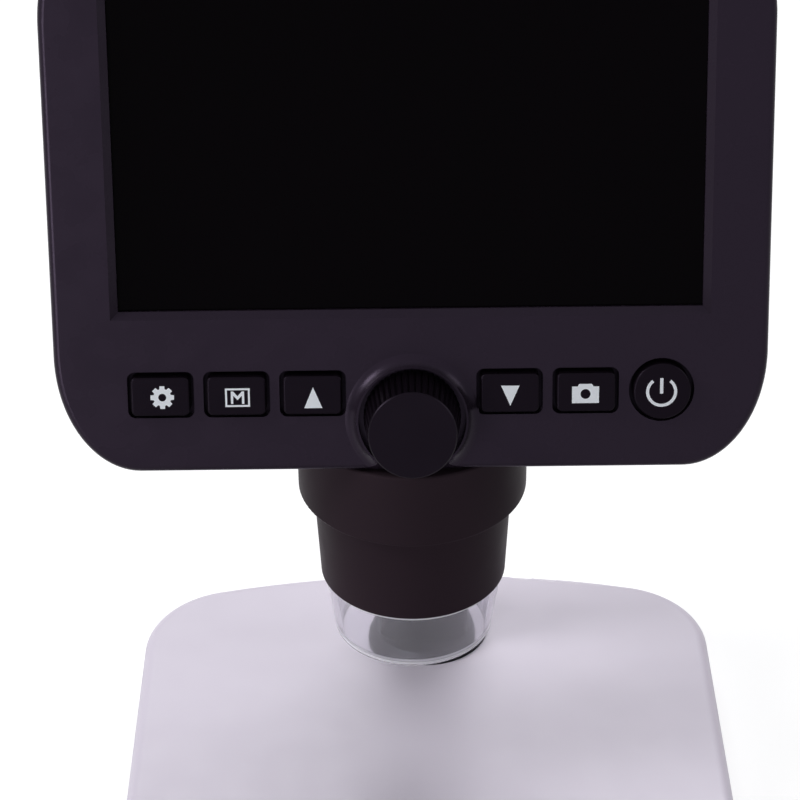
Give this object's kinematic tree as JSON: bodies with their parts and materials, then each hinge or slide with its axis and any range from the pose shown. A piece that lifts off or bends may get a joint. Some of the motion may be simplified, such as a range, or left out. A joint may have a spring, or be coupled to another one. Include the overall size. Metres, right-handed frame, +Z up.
{
  "type": "lcd digital microscope",
  "caption": "Desktop digital microscope: tilted display head with keys and focus knob, dark tube with a clear tip, sliding on a post over a white base board.",
  "frame": {"origin": "on the floor, straight below the optical axis", "axes": "+Z up along the optical axis, -Y towards the user who faces the display, +X to the user's right"},
  "size_m": [0.1202, 0.1686, 0.1781],
  "materials": {
    "white_shell": "satin white ABS",
    "black_shell": "fine matt black ABS",
    "black_gloss": "satin black plastic",
    "black_metal": "black anodised",
    "steel": "plain steel",
    "brass": "turned brass",
    "rubber": "soft rubber",
    "clear": "clear polycarbonate",
    "lens_glass": "polished glass",
    "screen_glass": "smoked cover lens",
    "panel": "dark display panel",
    "board": "green solder mask",
    "battery_wrap": "silver pouch",
    "led_body": "white LED package",
    "white_nylon": "nylon gear",
    "connector": "plated connector shell"
  },
  "bodies": {
    "stand": {"base_shell": "white_shell", "base_plate": "black_shell", "ballast_plate": "steel", "anti_slip_pad": "rubber", "base_screws": "steel", "post_screws": "steel", "post": "black_metal", "post_foot": "black_metal", "post_cap": "black_shell"},
    "lock": {"lock_screw": "steel", "lock_knob": "black_shell"},
    "focus": {"focus_knob": "black_shell", "focus_shaft": "steel", "focus_pinion": "brass", "shaft_clip": "steel"},
    "lens": {"lens_carrier": "black_shell", "objective_lens": "lens_glass", "relay_lens": "lens_glass", "lens_retainers": "black_shell", "focus_rack": "white_nylon"},
    "dimmer": {"dimmer_wheel": "black_gloss"},
    "key_settings": {"key_settings": "black_gloss"},
    "key_mode": {"key_mode": "black_gloss"},
    "key_up": {"key_up": "black_gloss"},
    "key_down": {"key_down": "black_gloss"},
    "key_camera": {"key_camera": "black_gloss"},
    "key_power": {"key_power": "black_gloss"},
    "head": {"carriage": "black_shell", "brake_pad": "rubber", "ring_grub_screws": "steel", "front_bezel": "black_shell", "rear_housing": "black_shell", "cover_lens": "screen_glass", "lcd_panel": "panel", "main_board": "board", "battery": "battery_wrap", "main_board_screws": "steel", "usb_socket": "connector", "card_slot": "connector", "video_jack": "black_gloss", "dimmer_pot": "black_shell", "housing_screws": "steel", "key_board_left": "board", "key_board_right": "board", "key_switches": "black_gloss", "key_board_screws": "steel", "optical_barrel": "black_shell", "clear_tip": "clear", "led_board": "board", "leds": "led_body", "shaft_bush": "brass", "optics_frame": "black_shell", "optics_screws": "steel", "sensor_board": "board", "image_sensor": "panel"}
  },
  "joints": [
    {"name": "head_lift", "type": "slide", "parent": "stand", "child": "head", "axis": [0, 0, 1], "range_m": [-0.02, 0.03]},
    {"name": "lock_turn", "type": "hinge", "parent": "head", "child": "lock", "pos_m": [0.0026, 0.055, 0.08413], "axis": [0, 1, 0], "range_deg": [0, 180]},
    {"name": "focus_turn", "type": "hinge", "parent": "head", "child": "focus", "pos_m": [0, -0.016, 0.09619], "axis": [0, -0.9533, 0.302], "range_deg": [-80, 80]},
    {"name": "lens_slide", "type": "slide", "parent": "head", "child": "lens", "axis": [0, 0, 1], "range_m": [-0.00527, 0.00527]},
    {"name": "dimmer_turn", "type": "hinge", "parent": "head", "child": "dimmer", "pos_m": [0.05435, 0.0121, 0.14184], "axis": [0, -0.9533, 0.302], "range_deg": [-135, 135]},
    {"name": "key_settings_press", "type": "slide", "parent": "head", "child": "key_settings", "axis": [0, 0.9533, -0.302], "range_m": [0, 0.0004], "stiffness_N_per_m": 1500},
    {"name": "key_mode_press", "type": "slide", "parent": "head", "child": "key_mode", "axis": [0, 0.9533, -0.302], "range_m": [0, 0.0004], "stiffness_N_per_m": 1500},
    {"name": "key_up_press", "type": "slide", "parent": "head", "child": "key_up", "axis": [0, 0.9533, -0.302], "range_m": [0, 0.0004], "stiffness_N_per_m": 1500},
    {"name": "key_down_press", "type": "slide", "parent": "head", "child": "key_down", "axis": [0, 0.9533, -0.302], "range_m": [0, 0.0004], "stiffness_N_per_m": 1500},
    {"name": "key_camera_press", "type": "slide", "parent": "head", "child": "key_camera", "axis": [0, 0.9533, -0.302], "range_m": [0, 0.0004], "stiffness_N_per_m": 1500},
    {"name": "key_power_press", "type": "slide", "parent": "head", "child": "key_power", "axis": [0, 0.9533, -0.302], "range_m": [0, 0.0004], "stiffness_N_per_m": 1500}
  ],
  "couplings": [
    {"joint": "focus_turn", "follows": "lens_slide", "rad_per_m": 264.8}
  ]
}
